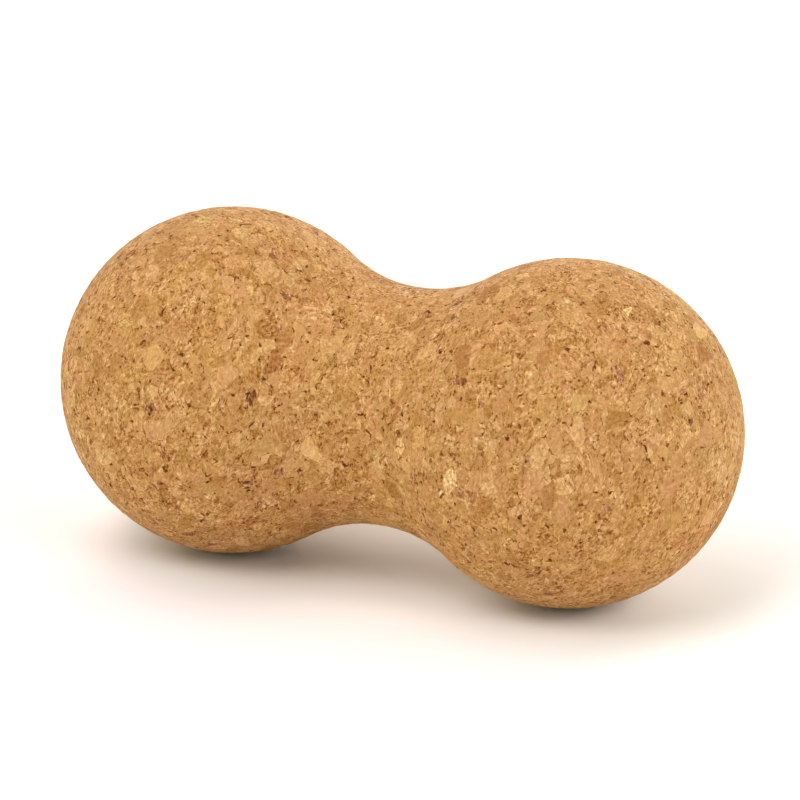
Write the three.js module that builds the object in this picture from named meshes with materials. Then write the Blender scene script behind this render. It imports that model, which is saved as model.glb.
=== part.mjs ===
// Double-lobed massage ball, turned from one block of agglomerated cork.
// Units are millimetres. +Z is up. The ball lies on its two lobes, with the origin on the floor
// midway between them, and +X runs along the long axis through both lobe centres.

import * as THREE from 'three';

// Driving dimensions.
const LOBE_RADIUS = 40;
const LOBE_SPACING = 85; // between the centres of the two lobes
const WAIST_RADIUS = 40; // of the hollow arc that blends one lobe into the other
const SEAT_LENGTH = 4; // along the axis, of the narrow flat on which each lobe rests

// Fineness of the faceted solid.
const FLATS_AROUND = 64; // even, so that one row of flats faces straight down
const WAIST_STEPS = 6; // from the middle of the waist to where a lobe begins
const SHOULDER_STEPS = 6; // from there to the seat
const CAP_STEPS = 16; // from the seat to the end of the lobe

const CORK_COLOUR = 0xc8945a;
const CORK_ROUGHNESS = 0.85;

// A lobe's sphere and the waist's arc touch, so their centres are one radius plus the other apart.
const LOBE_CENTRE_X = LOBE_SPACING / 2;
const WAIST_CENTRE_HEIGHT = Math.sqrt((LOBE_RADIUS + WAIST_RADIUS) ** 2 - LOBE_CENTRE_X ** 2);
const BLEND_ANGLE = Math.atan2(LOBE_CENTRE_X, WAIST_CENTRE_HEIGHT); // from straight out, at both
const SEAT_ANGLE = Math.asin(SEAT_LENGTH / 2 / LOBE_RADIUS); // half of the seat, at the lobe centre
const SEAT_RADIUS = LOBE_RADIUS * Math.cos(SEAT_ANGLE); // from the long axis to the seat

// A point of the outline: x lies along the long axis, and height is the distance from that axis.
function lobePoint(angle) {
  return {
    x: LOBE_CENTRE_X + LOBE_RADIUS * Math.sin(angle),
    height: LOBE_RADIUS * Math.cos(angle),
  };
}

function waistPoint(angle) {
  return {
    x: WAIST_RADIUS * Math.sin(angle),
    height: WAIST_CENTRE_HEIGHT - WAIST_RADIUS * Math.cos(angle),
  };
}

// Points evenly spaced in angle along an arc, both ends included.
function arc(pointAt, from, to, steps) {
  const points = [];
  for (let step = 0; step <= steps; step += 1) {
    points.push(pointAt(THREE.MathUtils.lerp(from, to, step / steps)));
  }
  return points;
}

// The outline of one half, from the middle of the waist to the end of the lobe.
function halfOutline() {
  return [
    ...arc(waistPoint, 0, BLEND_ANGLE, WAIST_STEPS),
    ...arc(lobePoint, -BLEND_ANGLE, -SEAT_ANGLE, SHOULDER_STEPS).slice(1),
    ...arc(lobePoint, SEAT_ANGLE, Math.PI / 2, CAP_STEPS),
  ];
}

// The whole outline, from one end of the ball to the other, both ends on the axis.
function outline() {
  const half = halfOutline();
  half[half.length - 1].height = 0;
  const mirrored = half.slice(1).reverse().map(({ x, height }) => ({ x: -x, height }));
  return [...mirrored, ...half];
}

// The outline turned about the long axis. The flats are pushed out a little, so that the middle
// of each lies on the true round form and its edges stand outside it.
function corkBody() {
  const pushOut = 1 / Math.cos(Math.PI / FLATS_AROUND);
  const profile = outline().map(({ x, height }) => new THREE.Vector2(height * pushOut, x));
  const halfFlat = Math.PI / FLATS_AROUND;
  const geometry = new THREE.LatheGeometry(profile, FLATS_AROUND, halfFlat, 2 * Math.PI);
  const cork = new THREE.MeshStandardMaterial({
    color: CORK_COLOUR,
    roughness: CORK_ROUGHNESS,
    metalness: 0,
  });
  const mesh = new THREE.Mesh(geometry, cork);
  mesh.name = 'cork_body';
  mesh.rotation.z = -Math.PI / 2;
  mesh.position.z = SEAT_RADIUS;
  return mesh;
}

const massageBall = new THREE.Group();
massageBall.add(corkBody());

export default massageBall;
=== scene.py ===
"""Cork massage ball with two lobes, lying on a pale floor under soft studio light."""

import math

import bmesh
import bpy
import numpy as np
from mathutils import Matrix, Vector


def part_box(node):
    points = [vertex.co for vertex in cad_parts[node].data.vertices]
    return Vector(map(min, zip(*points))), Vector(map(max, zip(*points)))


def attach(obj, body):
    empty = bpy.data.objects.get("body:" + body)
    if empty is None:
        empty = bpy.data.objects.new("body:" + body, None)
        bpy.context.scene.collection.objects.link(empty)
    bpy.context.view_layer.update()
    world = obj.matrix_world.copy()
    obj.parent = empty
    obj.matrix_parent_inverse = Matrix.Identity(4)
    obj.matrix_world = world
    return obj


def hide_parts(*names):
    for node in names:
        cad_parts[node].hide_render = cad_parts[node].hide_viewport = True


MM = 0.001

# The camera looks at the middle of the ball from this side. 0 degrees of azimuth is from -Y.
CAMERA_AZIMUTH = math.radians(25.6)
CAMERA_ELEVATION = math.radians(19.4)
CAMERA_DISTANCE = 2.8
CAMERA_LENS_MM = 551
CAMERA_SENSOR_MM = 36
CAMERA_ASIDE = 0.14 * MM
CAMERA_ABOVE = -1.43 * MM

# The mesh: quads along and around the ball, and a square patch over each end.
QUADS_AROUND = 336
QUADS_ALONG = 250
END_PATCH_ANGLE = math.radians(45)
MERGE_DISTANCE = 0.01 * MM

# The unrolled skin fills a square of side 1: a strip for the side of the ball, a disc for each end.
STRIP_MARGIN = 0.004
STRIP_WIDTH = 0.992
STRIP_HEIGHT = 0.65
LEFT_DISC = (0.17, 0.83)
RIGHT_DISC = (0.5, 0.83)
DISC_RADIUS = 0.16

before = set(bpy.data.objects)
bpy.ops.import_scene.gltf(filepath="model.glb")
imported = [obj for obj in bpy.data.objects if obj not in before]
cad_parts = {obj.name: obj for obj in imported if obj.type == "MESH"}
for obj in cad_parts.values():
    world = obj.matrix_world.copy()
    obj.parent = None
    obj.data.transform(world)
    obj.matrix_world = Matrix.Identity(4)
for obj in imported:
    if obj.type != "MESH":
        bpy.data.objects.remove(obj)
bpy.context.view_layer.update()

# Sizes of the ball, from the CAD box.
LOW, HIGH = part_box("cork_body")
LOBE_RADIUS = (HIGH.z - LOW.z) / 2
LOBE_CENTRE = HIGH.x - LOBE_RADIUS
AXIS_HEIGHT = LOW.z + LOBE_RADIUS
WAIST_RADIUS = LOBE_RADIUS
WAIST_CENTRE = math.sqrt((LOBE_RADIUS + WAIST_RADIUS) ** 2 - LOBE_CENTRE**2)
BLEND_ANGLE = math.atan2(LOBE_CENTRE, WAIST_CENTRE)
WAIST_LENGTH = WAIST_RADIUS * BLEND_ANGLE
HALF_LENGTH = WAIST_LENGTH + LOBE_RADIUS * (BLEND_ANGLE + math.pi / 2)

# Granules of three sizes, in millimetres. Each size is flattened across its own axis by a share.
LARGE_GRANULE = 5.0
MIDDLE_GRANULE = 3.0
SMALL_GRANULE = 1.6
LARGE_AXIS = Vector((0.93, 0.22, -0.29)).normalized()
MIDDLE_AXIS = Vector((0.50, 0.84, -0.20)).normalized()
SMALL_AXIS = Vector((0.76, 0.30, -0.58)).normalized()
LARGE_FLATNESS = 0.5
MIDDLE_FLATNESS = 0.9
SMALL_FLATNESS = 0.8

# A large or middle granule lies where its chance is above this. Small ones fill the rest.
LARGE_ABOVE = 0.72
MIDDLE_ABOVE = 0.42

# Granules of a kind below this are dark bark. Large ones have a kind of at least LARGE_KIND.
BARK_KIND = 0.02
LARGE_KIND = 0.05

# Granules are bent in wide swirls and in small ones that make their edges ragged, in millimetres.
WIDE_SWIRL = 6.0
WIDE_REACH = 0.9
RAGGED_SWIRL = 1.3
RAGGED_REACH = 0.3
STREAK_SWIRL = 1.6
STREAK_REACH = 0.4

# Noise mostly stays within this of its middle.
NOISE_SPREAD = 0.25

# The cork's grain runs along this direction, and turns up to about this much in a granule. Places
# are squeezed along it by this share, so streaks are four times as long as they are wide.
GRAIN = Vector((0.24, 0.15, 0.92)).normalized()
GRAIN_TURN = 1.9
GRAIN_SQUEEZE = -0.75

# The crumbs and the pits are flattened across this axis by a share.
CRUMB_AXIS = Vector((0.81, 0.51, -0.29)).normalized()
CRUMB_FLATNESS = 0.6
PIT_FLATNESS = 0.5

# Sizes of the cork's features, in millimetres.
STREAK_SIZE = 0.65
PIT_SIZE = 0.8
CRUMB_SIZE = 0.95
CRACK_SIZE = 1.4
CRACK_GROUP_SIZE = 2.3
LIP_SIZE = 2.9
HOLLOW_SIZE = 3.2
PIT_GROUP_SIZE = 5.0
PATCH_SIZE = 7.0
LIVELY_SIZE = 8.0

# From its edge inwards, a granule's own tone and height fade in over OWN_MARGIN, and its tint over
# TINT_MARGIN. The painted shade of the cracks reaches up to CRACK_REACH in, and fades out over
# CRACK_MARGIN. In millimetres.
OWN_MARGIN = 0.3
TINT_MARGIN = 0.25
CRACK_REACH = 0.36
CRACK_MARGIN = 0.14

# Relief of the mesh, in millimetres: how far granules stand above their edges, over what slope,
# and how deep the hollows are.
GRANULE_LOWEST = 0.02
GRANULE_HIGHEST = 0.12
GRANULE_SLOPE = 0.9
HOLLOW_DEPTH = 0.18

# Relief that is too fine for the mesh, in millimetres.
CRUMB_BUMP = 0.6
PIT_BUMP = -0.3
GRANULE_BUMP = 0.2

# What each feature adds to the tone of the cork, which is 0 where it is dark and 1 where it is pale.
USUAL_TONE = 0.52
GRANULE_TONE = 0.25
STREAK_TONE = 0.85
# The crumbs' colour is partly the cork's own fleck and partly painted shade in the low spots of
# their bumps, with painted light on the high spots.
CRUMB_FLECK_AND_PAINTED_SHADE = 0.75
# Cracks are darkened in the colour: painted shade in the crevices between granules, fainter or
# deeper from place to place.
FAINT_CREVICE_PAINTED_SHADE = -0.14
DEEP_CREVICE_PAINTED_SHADE = -0.41
# A pale rim inside the granules' edges: a painted highlight on the rims beside the cracks.
LIP_PAINTED_HIGHLIGHT = 0.12
STROKE_TONE = -0.17
SPLINTER_TONE = 0.13
BARK_TONE = -0.05
# Hollows are darkened in the colour: painted shade in the shallow hollows of the relief.
HOLLOW_PAINTED_SHADE = -0.05
# Pits are darkened in the colour: painted shade inside the small holes.
PIT_PAINTED_SHADE = -0.27

# How much more uneven bark is in tone than the rest of the cork.
BARK_CONTRAST = 1.2

# How much the red, green and blue of the cork change from patch to patch.
PATCH_COLOUR = (0.12, 0.2, 0.55)

# Gloss of the cork, where it is dark and where it is pale.
DARK_ROUGHNESS = 0.95
PALE_ROUGHNESS = 0.7
CORK_SPECULAR = 0.3

# The floor, in metres, reaches far enough to fill low views.
FLOOR_HALF_WIDTH = 60
FLOOR_COLOUR = (0.97, 0.93, 0.85, 1)
FLOOR_ROUGHNESS = 0.9


def srgb(red, green, blue):
    """A colour given from 0 to 255, as a person reads it off a screen, made linear."""
    def linear(value):
        share = value / 255
        return share / 12.92 if share <= 0.04045 else ((share + 0.055) / 1.055) ** 2.4
    return (linear(red), linear(green), linear(blue), 1)


# Colours of the cork, by its tone.
TONES = (
    (0.0, srgb(76, 28, 0)),
    (0.25, srgb(142, 81, 13)),
    (0.42, srgb(182, 127, 62)),
    (0.5, srgb(195, 141, 75)),
    (0.62, srgb(212, 158, 94)),
    (0.8, srgb(232, 187, 124)),
    (1.0, srgb(242, 212, 162)),
)

# Tints of granules, by their kind: bark, pinkish, plain, olive and pale.
TINTS = (
    (0.0, (0.55, 0.42, 0.46, 1)),
    (0.018, (0.66, 0.53, 0.58, 1)),
    (0.025, (0.94, 0.86, 0.93, 1)),
    (0.12, (0.98, 0.93, 0.98, 1)),
    (0.2, (1, 1, 1, 1)),
    (0.84, (1, 1, 1, 1)),
    (0.88, (0.92, 0.98, 0.88, 1)),
    (0.93, (0.96, 1.0, 0.93, 1)),
    (0.95, (1.06, 1.09, 1.08, 1)),
    (0.98, (1.12, 1.19, 1.25, 1)),
    (1.0, (1.24, 1.42, 1.6, 1)),
)

# Soft studio lights: degrees round from the camera, degrees up, degrees wide, strength as a colour.
LIGHTS = (
    ("back_right", 160, 12, 30, (0.93, 1.01, 0.87)),
    ("back_left", -160, 12, 30, (0.47, 0.49, 0.60)),
    ("back_high", 160, 52, 70, (1.22, 1.22, 1.22)),
    ("left_low", -80, 12, 30, (0.42, 0.60, 0.55)),
    ("left", -80, 30, 30, (0.50, 0.48, 0.36)),
    ("left_high", -80, 50, 30, (0.19, 0.26, 0.38)),
    ("top", -90, 75, 30, (0.92, 0.68, 0.70)),
    ("front_left", -40, 50, 30, (1.07, 1.06, 1.15)),
    ("front_right", 40, 30, 30, (1.13, 1.22, 1.34)),
    ("right", 80, 30, 30, (0.70, 0.60, 0.54)),
    ("right_low", 90, 12, 70, (0.60, 0.88, 1.06)),
)


# ---------------------------------------------------------------- mesh


def surface_points(travel, turn):
    """Points of the smooth ball: travel along its outline from the waist, turn around its axis."""
    distance = np.abs(travel)
    waist = np.minimum(distance, WAIST_LENGTH) / WAIST_RADIUS
    lobe = (distance - WAIST_LENGTH) / LOBE_RADIUS - BLEND_ANGLE
    on_lobe = distance > WAIST_LENGTH
    along = np.where(
        on_lobe, LOBE_CENTRE + LOBE_RADIUS * np.sin(lobe), WAIST_RADIUS * np.sin(waist)
    )
    out = np.where(
        on_lobe, LOBE_RADIUS * np.cos(lobe), WAIST_CENTRE - WAIST_RADIUS * np.cos(waist)
    )
    along = np.copysign(along, travel)
    return np.stack([along, out * np.sin(turn), AXIS_HEIGHT + out * np.cos(turn)], axis=-1)


def side_grid():
    """The whole ball but its ends, as rings of points, and their places on the unrolled skin."""
    reach = HALF_LENGTH - LOBE_RADIUS * END_PATCH_ANGLE
    travel = np.linspace(-reach, reach, QUADS_ALONG + 1)
    turn = np.linspace(0, 2 * math.pi, QUADS_AROUND + 1)
    travel, turn = np.meshgrid(travel, turn, indexing="ij")
    across = STRIP_MARGIN + STRIP_WIDTH * turn / (2 * math.pi)
    up = STRIP_MARGIN + STRIP_HEIGHT * (travel / reach + 1) / 2
    return surface_points(travel, turn), np.stack([across, up], axis=-1)


def end_grid(side, disc_middle):
    """One end of the ball, as a square grid bent into a round cap, and its disc on the skin."""
    steps = np.linspace(-1, 1, QUADS_AROUND // 4 + 1)
    a, b = np.meshgrid(steps, steps, indexing="ij")
    wide = np.abs(a) >= np.abs(b)
    radius = np.where(wide, a, b)
    share = np.divide(np.where(wide, b, a), radius, out=np.zeros_like(a), where=radius != 0)
    angle = np.where(wide, share, 2 - share) * math.pi / 4
    angle = np.where(radius < 0, angle + math.pi, angle)
    travel = side * (HALF_LENGTH - np.abs(radius) * LOBE_RADIUS * END_PATCH_ANGLE)
    disc = np.stack([np.cos(angle), np.sin(angle)], axis=-1) * np.abs(radius)[..., None]
    return surface_points(travel, angle), np.array(disc_middle) + DISC_RADIUS * disc


def grid_faces(rows, columns, start):
    """Quads between the points of a grid, whose first point has the number start."""
    corner = start + np.arange(rows - 1)[:, None] * columns + np.arange(columns - 1)[None, :]
    around = [corner, corner + 1, corner + columns + 1, corner + columns]
    return np.stack(around, axis=-1).reshape(-1, 4)


def ball_mesh():
    points, places, faces = [], [], []
    start = 0
    for grid, place in (side_grid(), end_grid(-1, LEFT_DISC), end_grid(1, RIGHT_DISC)):
        points.append(grid.reshape(-1, 3))
        places.append(place.reshape(-1, 2))
        faces.append(grid_faces(*grid.shape[:2], start))
        start += len(points[-1])
    faces = np.concatenate(faces)
    mesh = bpy.data.meshes.new("cork_ball")
    mesh.from_pydata(np.concatenate(points).tolist(), [], faces.tolist())
    skin = mesh.uv_layers.new(name="OFBake")
    skin.data.foreach_set("uv", np.concatenate(places)[faces.ravel()].ravel())
    work = bmesh.new()
    work.from_mesh(mesh)
    bmesh.ops.remove_doubles(work, verts=work.verts, dist=MERGE_DISTANCE)
    bmesh.ops.recalc_face_normals(work, faces=work.faces)
    work.to_mesh(mesh)
    work.free()
    mesh.polygons.foreach_set("use_smooth", np.ones(len(mesh.polygons), bool))
    return mesh


# ---------------------------------------------------------------- nodes


class Graph:
    """Adds nodes to a tree. The cork's nodes work in a material's tree and a geometry's alike."""

    def __init__(self, tree):
        self.tree = tree

    def feed(self, socket, value):
        if isinstance(value, bpy.types.NodeSocket):
            self.tree.links.new(value, socket)
        else:
            socket.default_value = value

    def node(self, kind, inputs=(), **settings):
        node = self.tree.nodes.new(kind)
        for name, value in settings.items():
            setattr(node, name, value)
        for name, value in dict(inputs).items():
            self.feed(node.inputs[name], value)
        return node

    def math(self, operation, *values):
        node = self.node("ShaderNodeMath", operation=operation)
        for socket, value in zip(node.inputs, values):
            self.feed(socket, value)
        return node.outputs[0]

    def add(self, *values):
        total = values[0]
        for value in values[1:]:
            total = self.math("ADD", total, value)
        return total

    def times(self, *values):
        product = values[0]
        for value in values[1:]:
            product = self.math("MULTIPLY", product, value)
        return product

    def vector(self, operation, *values, scale=None):
        node = self.node("ShaderNodeVectorMath", operation=operation)
        for socket, value in zip(node.inputs, values):
            self.feed(socket, value)
        if scale is not None:
            self.feed(node.inputs["Scale"], scale)
        return node.outputs["Value" if operation == "DOT_PRODUCT" else "Vector"]

    def ramp(self, value, low, high, start=0.0, end=1.0):
        """Goes smoothly from start, where value is low, to end, where it is high."""
        inputs = {
            "Value": value, "From Min": low, "From Max": high, "To Min": start, "To Max": end,
        }
        node = self.node("ShaderNodeMapRange", inputs, interpolation_type="SMOOTHSTEP")
        return node.outputs["Result"]

    def mix(self, share, a, b):
        """a where share is 0, b where it is 1."""
        node = self.node("ShaderNodeMix", data_type="FLOAT")
        for socket, value in zip(node.inputs[0:1] + node.inputs[2:4], (share, a, b)):
            self.feed(socket, value)
        return node.outputs[0]

    def mix_vector(self, share, a, b):
        node = self.node("ShaderNodeMix", data_type="VECTOR")
        for socket, value in zip((node.inputs[0], node.inputs[4], node.inputs[5]), (share, a, b)):
            self.feed(socket, value)
        return node.outputs[1]

    def noise(self, place, size, detail=2.0, roughness=0.5, output="Fac"):
        inputs = {"Vector": place, "Scale": 1 / size, "Detail": detail, "Roughness": roughness}
        return self.node("ShaderNodeTexNoise", inputs).outputs[output]

    def cells(self, place, size, feature="F1"):
        inputs = {"Vector": place, "Scale": 1 / size}
        return self.node("ShaderNodeTexVoronoi", inputs, feature=feature).outputs

    def chances(self, seed):
        """Three random numbers for each value of the vector seed."""
        return self.node("ShaderNodeTexWhiteNoise", {"Vector": seed}).outputs["Color"]

    def parts(self, vector):
        return self.node("ShaderNodeSeparateXYZ", {"Vector": vector}).outputs[0:3]

    def centred(self, vector):
        """A vector of numbers from 0 to 1, moved to be 0 on average."""
        return self.vector("SUBTRACT", vector, (0.5, 0.5, 0.5))

    def colours(self, value, stops):
        """A colour for each value, between the given (value, colour) stops."""
        node = self.node("ShaderNodeValToRGB", {"Fac": value})
        elements = node.color_ramp.elements
        while len(elements) > 1:
            elements.remove(elements[-1])
        elements[0].position, elements[0].color = stops[0]
        for position, colour in stops[1:]:
            elements.new(position).color = colour
        return node.outputs["Color"]


# ---------------------------------------------------------------- cork


def pressed(g, place, axis, share):
    """Places in the cork, squeezed so that what is round there is flat across the axis."""
    along = g.times(g.vector("DOT_PRODUCT", place, axis), share)
    return g.vector("ADD", place, g.vector("SCALE", axis, scale=along))


def bent(g, place, size, reach, detail=2.0):
    """Places moved by up to about reach millimetres, in swirls of that size."""
    swirl = g.centred(g.noise(place, size, detail, output="Color"))
    return g.vector("ADD", place, g.vector("SCALE", swirl, scale=reach / NOISE_SPREAD))


def granules(g, place):
    """The granule at each place: its random numbers, and the distance to its edge."""
    wavy = bent(g, place, WIDE_SWIRL, WIDE_REACH)
    wavy = bent(g, wavy, RAGGED_SWIRL, RAGGED_REACH, 4.0)
    large_place = pressed(g, wavy, LARGE_AXIS, LARGE_FLATNESS)
    middle_place = pressed(g, wavy, MIDDLE_AXIS, MIDDLE_FLATNESS)
    small_place = pressed(g, wavy, SMALL_AXIS, SMALL_FLATNESS)
    large = g.cells(large_place, LARGE_GRANULE)["Color"]
    middle = g.cells(middle_place, MIDDLE_GRANULE)["Color"]
    small = g.cells(small_place, SMALL_GRANULE)["Color"]
    large_edge = g.cells(large_place, LARGE_GRANULE, "DISTANCE_TO_EDGE")["Distance"]
    middle_edge = g.cells(middle_place, MIDDLE_GRANULE, "DISTANCE_TO_EDGE")["Distance"]
    large_edge = g.times(large_edge, LARGE_GRANULE)
    middle_edge = g.times(middle_edge, MIDDLE_GRANULE)
    is_large = g.math("GREATER_THAN", g.parts(large)[0], LARGE_ABOVE)
    is_middle = g.math("GREATER_THAN", g.parts(middle)[0], MIDDLE_ABOVE)
    seed = g.mix_vector(is_large, g.mix_vector(is_middle, small, middle), large)
    edge = g.math("MINIMUM", large_edge, g.mix(is_middle, 1.0, middle_edge))
    edge = g.mix(is_large, edge, large_edge)
    own = g.chances(seed)
    grain, kind, own_tone = g.parts(own)
    level = g.parts(g.chances(own))[0]
    kind = g.math("MAXIMUM", kind, g.times(is_large, LARGE_KIND))
    return {
        "seed": seed, "edge": edge, "grain": grain, "kind": kind, "tone": own_tone, "level": level,
    }


def hollows(g, place):
    """1 in the shallow hollows of the surface."""
    return g.ramp(g.noise(place, HOLLOW_SIZE, 1.0), 0.62, 0.8)


def relief(g, place):
    """Height of the surface, in millimetres: granules with low edges, and hollows. Never above 0."""
    granule = granules(g, place)
    swell = g.ramp(granule["edge"], 0.0, GRANULE_SLOPE)
    height = g.times(swell, g.ramp(granule["tone"], 0.0, 1.0, GRANULE_LOWEST, GRANULE_HIGHEST))
    return g.add(height, g.times(hollows(g, place), -HOLLOW_DEPTH), -GRANULE_HIGHEST)


def crumbs(g, place):
    """Fine grain of crushed cork, the same in its colour and its bumps: 0 on average. In the colour
    it is partly painted shade in its low spots and painted light on its high spots.
    """
    flattened = pressed(g, place, CRUMB_AXIS, CRUMB_FLATNESS)
    return g.math("SUBTRACT", g.noise(flattened, CRUMB_SIZE, 4.0, 0.75), 0.5)


def pits(g, place):
    """1 in the small holes of the surface, which come in groups."""
    open_places = g.ramp(g.noise(place, PIT_GROUP_SIZE, 1.0), 0.35, 0.65, 0.0, 0.08)
    flattened = pressed(g, place, CRUMB_AXIS, PIT_FLATNESS)
    depth = g.add(g.noise(flattened, PIT_SIZE, 1.5, 0.6), open_places)
    return g.ramp(depth, 0.70, 0.80)


def streaks(g, place, granule):
    """Streaks along the grain, which turns from granule to granule: 0 on average."""
    turned = g.vector("SCALE", g.centred(g.chances(g.chances(granule["seed"]))), scale=GRAIN_TURN)
    way = g.vector("NORMALIZE", g.vector("ADD", turned, tuple(GRAIN)))
    along = g.times(g.vector("DOT_PRODUCT", place, way), GRAIN_SQUEEZE)
    streaked = g.vector("ADD", place, g.vector("SCALE", way, scale=along))
    streaked = bent(g, streaked, STREAK_SWIRL, STREAK_REACH)
    return g.math("SUBTRACT", g.noise(streaked, STREAK_SIZE, 3.0, 0.7), 0.5)


def cork_tone(g, place, granule):
    """How pale the cork is: 0 is dark, 0.5 usual and 1 pale. It holds painted shade in cracks, pits,
    hollows and low crumbs, and a painted highlight on granule rims.
    """
    edge = granule["edge"]
    lively = g.ramp(g.noise(place, LIVELY_SIZE, 1.0), 0.35, 0.65, 0.75, 1.25)
    is_bark = g.math("LESS_THAN", granule["kind"], BARK_KIND)
    contrast = g.times(g.ramp(granule["grain"], 0.1, 0.9, 0.65, 1.35), lively)
    contrast = g.add(contrast, g.times(is_bark, BARK_CONTRAST))
    streak = streaks(g, place, granule)
    # streaks of grain, and crumbs that are partly painted shade and light on the bumps
    grain_and_painted_shade = g.add(g.times(streak, STREAK_TONE), g.times(crumbs(g, place), CRUMB_FLECK_AND_PAINTED_SHADE))
    inside = g.ramp(edge, 0.0, OWN_MARGIN)
    cracked = g.ramp(g.noise(place, CRACK_SIZE, 1.0), 0.52, 0.72)
    # painted shade in the crevices along the granules' edges
    crevice_shade_mask = g.math("SUBTRACT", g.times(cracked, CRACK_REACH), edge)
    crevice_shade_mask = g.ramp(crevice_shade_mask, 0.0, CRACK_MARGIN)
    crack_group = g.noise(place, CRACK_GROUP_SIZE, 1.0)
    crevice_painted_shade = g.ramp(crack_group, 0.42, 0.63, FAINT_CREVICE_PAINTED_SHADE, DEEP_CREVICE_PAINTED_SHADE)
    # painted highlight on granule rims, in some places only
    highlight_places = g.ramp(g.noise(place, LIP_SIZE, 1.0), 0.5, 0.6)
    lip_highlight_mask = g.times(g.ramp(edge, 0.1, 0.28), g.ramp(edge, 0.28, 0.55, 1.0, 0.0), highlight_places)
    stroke = g.ramp(g.add(streak, g.times(cracked, -0.05)), -0.25, -0.16, 1.0, 0.0)
    splinter = g.ramp(streak, 0.13, 0.25)
    return g.add(
        USUAL_TONE,
        g.times(g.math("SUBTRACT", granule["tone"], 0.5), inside, GRANULE_TONE),
        g.times(contrast, grain_and_painted_shade),
        g.times(crevice_shade_mask, crevice_painted_shade),
        g.times(lip_highlight_mask, LIP_PAINTED_HIGHLIGHT),
        g.times(stroke, STROKE_TONE),
        g.times(splinter, SPLINTER_TONE),
        g.times(is_bark, BARK_TONE),
        # painted shade in the hollows
        g.times(hollows(g, place), HOLLOW_PAINTED_SHADE),
        # painted shade in the pits
        g.times(pits(g, place), PIT_PAINTED_SHADE),
    )


def patches(g, place):
    """Faint differences of colour that spread over several granules."""
    wide = g.centred(g.noise(place, PATCH_SIZE, 3.0, 0.6, "Color"))
    return g.vector("ADD", g.vector("MULTIPLY", wide, PATCH_COLOUR), (1, 1, 1))


def cork_material():
    material = bpy.data.materials.new("agglomerated_cork")
    material.use_nodes = True
    g = Graph(material.node_tree)
    place = g.vector("SCALE", g.node("ShaderNodeTexCoord").outputs["Object"], scale=1 / MM)
    granule = granules(g, place)
    tone = cork_tone(g, place, granule)
    kind = g.mix(g.ramp(granule["edge"], 0.0, TINT_MARGIN), 0.5, granule["kind"])
    colour = g.vector("MULTIPLY", g.colours(tone, TONES), g.colours(kind, TINTS))
    colour = g.vector("MULTIPLY", colour, patches(g, place))
    own_level = g.times(g.math("SUBTRACT", granule["level"], 0.5), GRANULE_BUMP)
    height = g.add(
        g.times(crumbs(g, place), CRUMB_BUMP),
        g.times(pits(g, place), PIT_BUMP),
        g.times(g.ramp(granule["edge"], 0.0, OWN_MARGIN), own_level),
    )
    bump = g.node("ShaderNodeBump", {"Height": height, "Distance": MM, "Strength": 1.0})
    shader = material.node_tree.nodes["Principled BSDF"]
    g.feed(shader.inputs["Base Color"], colour)
    g.feed(shader.inputs["Roughness"], g.ramp(tone, 0.2, 0.7, DARK_ROUGHNESS, PALE_ROUGHNESS))
    g.feed(shader.inputs["Specular IOR Level"], CORK_SPECULAR)
    g.feed(shader.inputs["Normal"], bump.outputs["Normal"])
    return material


def carve(piece):
    """Moves the surface inwards by the cork's relief."""
    tree = bpy.data.node_groups.new("cork_relief", "GeometryNodeTree")
    tree.interface.new_socket("Geometry", in_out="INPUT", socket_type="NodeSocketGeometry")
    tree.interface.new_socket("Geometry", in_out="OUTPUT", socket_type="NodeSocketGeometry")
    g = Graph(tree)
    place = g.vector("SCALE", g.node("GeometryNodeInputPosition").outputs["Position"], scale=1 / MM)
    height = g.times(relief(g, place), MM)
    offset = g.vector("SCALE", g.node("GeometryNodeInputNormal").outputs["Normal"], scale=height)
    whole = g.node("NodeGroupInput").outputs["Geometry"]
    moved = g.node("GeometryNodeSetPosition", {"Geometry": whole, "Offset": offset})
    g.node("NodeGroupOutput", {"Geometry": moved.outputs["Geometry"]})
    piece.modifiers.new("relief", "NODES").node_group = tree
    seen = bpy.context.evaluated_depsgraph_get()
    mesh = bpy.data.meshes.new_from_object(
        piece.evaluated_get(seen), preserve_all_data_layers=True, depsgraph=seen
    )
    piece.modifiers.clear()
    piece.data = mesh


def cork_ball():
    piece = bpy.data.objects.new("cork_ball", ball_mesh())
    bpy.context.scene.collection.objects.link(piece)
    piece.data.materials.append(cork_material())
    carve(piece)
    return piece


# ---------------------------------------------------------------- stage


def plain(name, colour, roughness):
    material = bpy.data.materials.new(name)
    material.use_nodes = True
    shader = material.node_tree.nodes["Principled BSDF"]
    shader.inputs["Base Color"].default_value = colour
    shader.inputs["Roughness"].default_value = roughness
    return material


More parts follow.
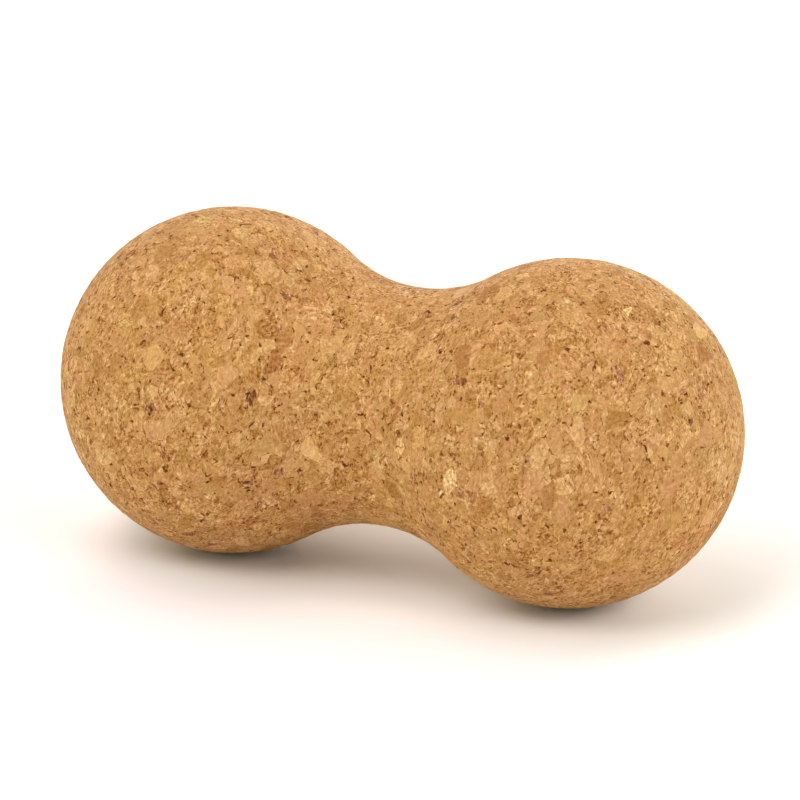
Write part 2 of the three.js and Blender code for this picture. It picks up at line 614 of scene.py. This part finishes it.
def floor():
    mesh = bpy.data.meshes.new("floor")
    half = FLOOR_HALF_WIDTH
    corners = [(-half, -half, 0), (half, -half, 0), (half, half, 0), (-half, half, 0)]
    mesh.from_pydata(corners, [], [(0, 1, 2, 3)])
    piece = bpy.data.objects.new("floor", mesh)
    bpy.context.scene.collection.objects.link(piece)
    piece.data.materials.append(plain("floor", FLOOR_COLOUR, FLOOR_ROUGHNESS))


def from_angles(azimuth, elevation):
    """Unit vector from the ball towards a place at these angles."""
    level = math.cos(elevation)
    return Vector((math.sin(azimuth) * level, -math.cos(azimuth) * level, math.sin(elevation)))


def camera():
    data = bpy.data.cameras.new("camera")
    data.lens = CAMERA_LENS_MM
    data.sensor_width = CAMERA_SENSOR_MM
    piece = bpy.data.objects.new("camera", data)
    bpy.context.scene.collection.objects.link(piece)
    outwards = from_angles(CAMERA_AZIMUTH, CAMERA_ELEVATION)
    turned = outwards.to_track_quat("Z", "Y")
    middle = Vector((0, 0, AXIS_HEIGHT))
    aside = turned @ Vector((CAMERA_ASIDE, CAMERA_ABOVE, 0))
    piece.rotation_mode = "QUATERNION"
    piece.rotation_quaternion = turned
    piece.location = middle + outwards * CAMERA_DISTANCE - aside
    bpy.context.scene.camera = piece


def light(name, around, up, wide, strength):
    data = bpy.data.lights.new(name, "SUN")
    data.angle = math.radians(wide)
    data.energy = 1
    data.color = strength
    piece = bpy.data.objects.new(name, data)
    bpy.context.scene.collection.objects.link(piece)
    direction = from_angles(CAMERA_AZIMUTH + math.radians(around), math.radians(up))
    piece.rotation_mode = "QUATERNION"
    piece.rotation_quaternion = direction.to_track_quat("Z", "Y")
    piece.location = direction


def white_world():
    """A world that is white where the camera sees it, and adds no light."""
    world = bpy.data.worlds.new("world")
    bpy.context.scene.world = world
    world.use_nodes = True
    background = world.node_tree.nodes["Background"]
    background.inputs["Color"].default_value = (1, 1, 1, 1)
    path = world.node_tree.nodes.new("ShaderNodeLightPath")
    world.node_tree.links.new(path.outputs["Is Camera Ray"], background.inputs["Strength"])


ball = cork_ball()
floor()
camera()
for row in LIGHTS:
    light(*row)
white_world()
bpy.context.scene.view_settings.view_transform = "Standard"

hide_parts("cork_body")
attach(ball, "root")
